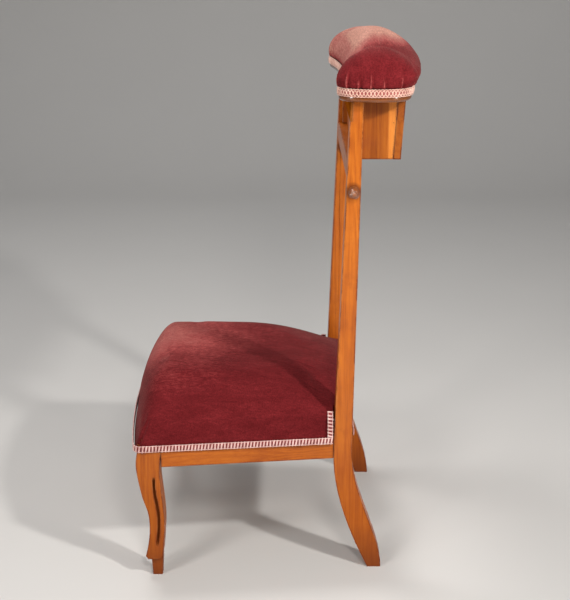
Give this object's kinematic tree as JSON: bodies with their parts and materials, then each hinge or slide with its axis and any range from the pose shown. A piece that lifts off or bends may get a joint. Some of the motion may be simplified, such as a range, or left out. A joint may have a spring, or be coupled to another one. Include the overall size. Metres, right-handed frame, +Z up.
{
  "type": "kneeling bench",
  "caption": "Prie-dieu kneeling chair: low velvet-covered seat on cabriole front legs, two tall raked posts, and a padded kidney-shaped armrest that is the hinged lid of a book box.",
  "frame": {"origin": "on the floor, in the middle of the outer box", "axes": "+Z up; X across the width, +X the kneeler's right; the kneeler faces +Y, from the seat towards the armrest"},
  "size_m": [0.4816, 0.4829, 0.897],
  "materials": {
    "cherry_wood": "honey-coloured varnished fruitwood, worn satin",
    "dark_wood": "dark glossy varnished turned wood",
    "inner_wood": "unpolished inner wood",
    "velvet": "dark red cotton velvet, worn to salmon pink",
    "braid": "pale pink woven gimp braid",
    "jute": "jute webbing",
    "canvas": "linen base cloth",
    "brass": "tarnished brass",
    "steel": "dull steel"
  },
  "bodies": {
    "root": {"left_rear_post": "cherry_wood", "right_rear_post": "cherry_wood", "left_front_leg": "cherry_wood", "right_front_leg": "cherry_wood", "seat_left_rail": "cherry_wood", "seat_right_rail": "cherry_wood", "seat_front_rail": "cherry_wood", "seat_rear_rail": "cherry_wood", "left_front_corner_block": "inner_wood", "left_rear_corner_block": "inner_wood", "right_front_corner_block": "inner_wood", "right_rear_corner_block": "inner_wood", "webbing_long_1": "jute", "webbing_long_2": "jute", "webbing_long_3": "jute", "webbing_cross_1": "jute", "webbing_cross_2": "jute", "webbing_cross_3": "jute", "seat_canvas": "canvas", "seat_pad": "velvet", "seat_cover_skirt": "velvet", "seat_cover_rear_skirt": "velvet", "seat_braid": "braid", "seat_rear_braid": "braid", "left_post_braid": "braid", "right_post_braid": "braid", "back_rail": "cherry_wood", "armrest_apron": "cherry_wood", "left_knob": "dark_wood", "right_knob": "dark_wood", "box_left_end": "cherry_wood", "box_right_end": "cherry_wood", "box_front_panel": "cherry_wood", "box_floor": "inner_wood", "box_rear_panel": "cherry_wood", "left_hinge_fixed_leaf": "brass", "left_hinge_pin": "steel", "left_fixed_leaf_screw_1": "steel", "left_fixed_leaf_screw_2": "steel", "right_hinge_fixed_leaf": "brass", "right_hinge_pin": "steel", "right_fixed_leaf_screw_1": "steel", "right_fixed_leaf_screw_2": "steel"},
    "lid": {"armrest_board": "cherry_wood", "armrest_pad": "velvet", "armrest_braid": "braid", "left_hinge_lid_leaf": "brass", "left_lid_leaf_screw_1": "steel", "left_lid_leaf_screw_2": "steel", "right_hinge_lid_leaf": "brass", "right_lid_leaf_screw_1": "steel", "right_lid_leaf_screw_2": "steel"}
  },
  "joints": [
    {"name": "lid_hinge", "type": "hinge", "parent": "root", "child": "lid", "pos_m": [0, 0.2156, 0.8032], "axis": [-1, 0, 0], "range_deg": [0, 100]}
  ]
}
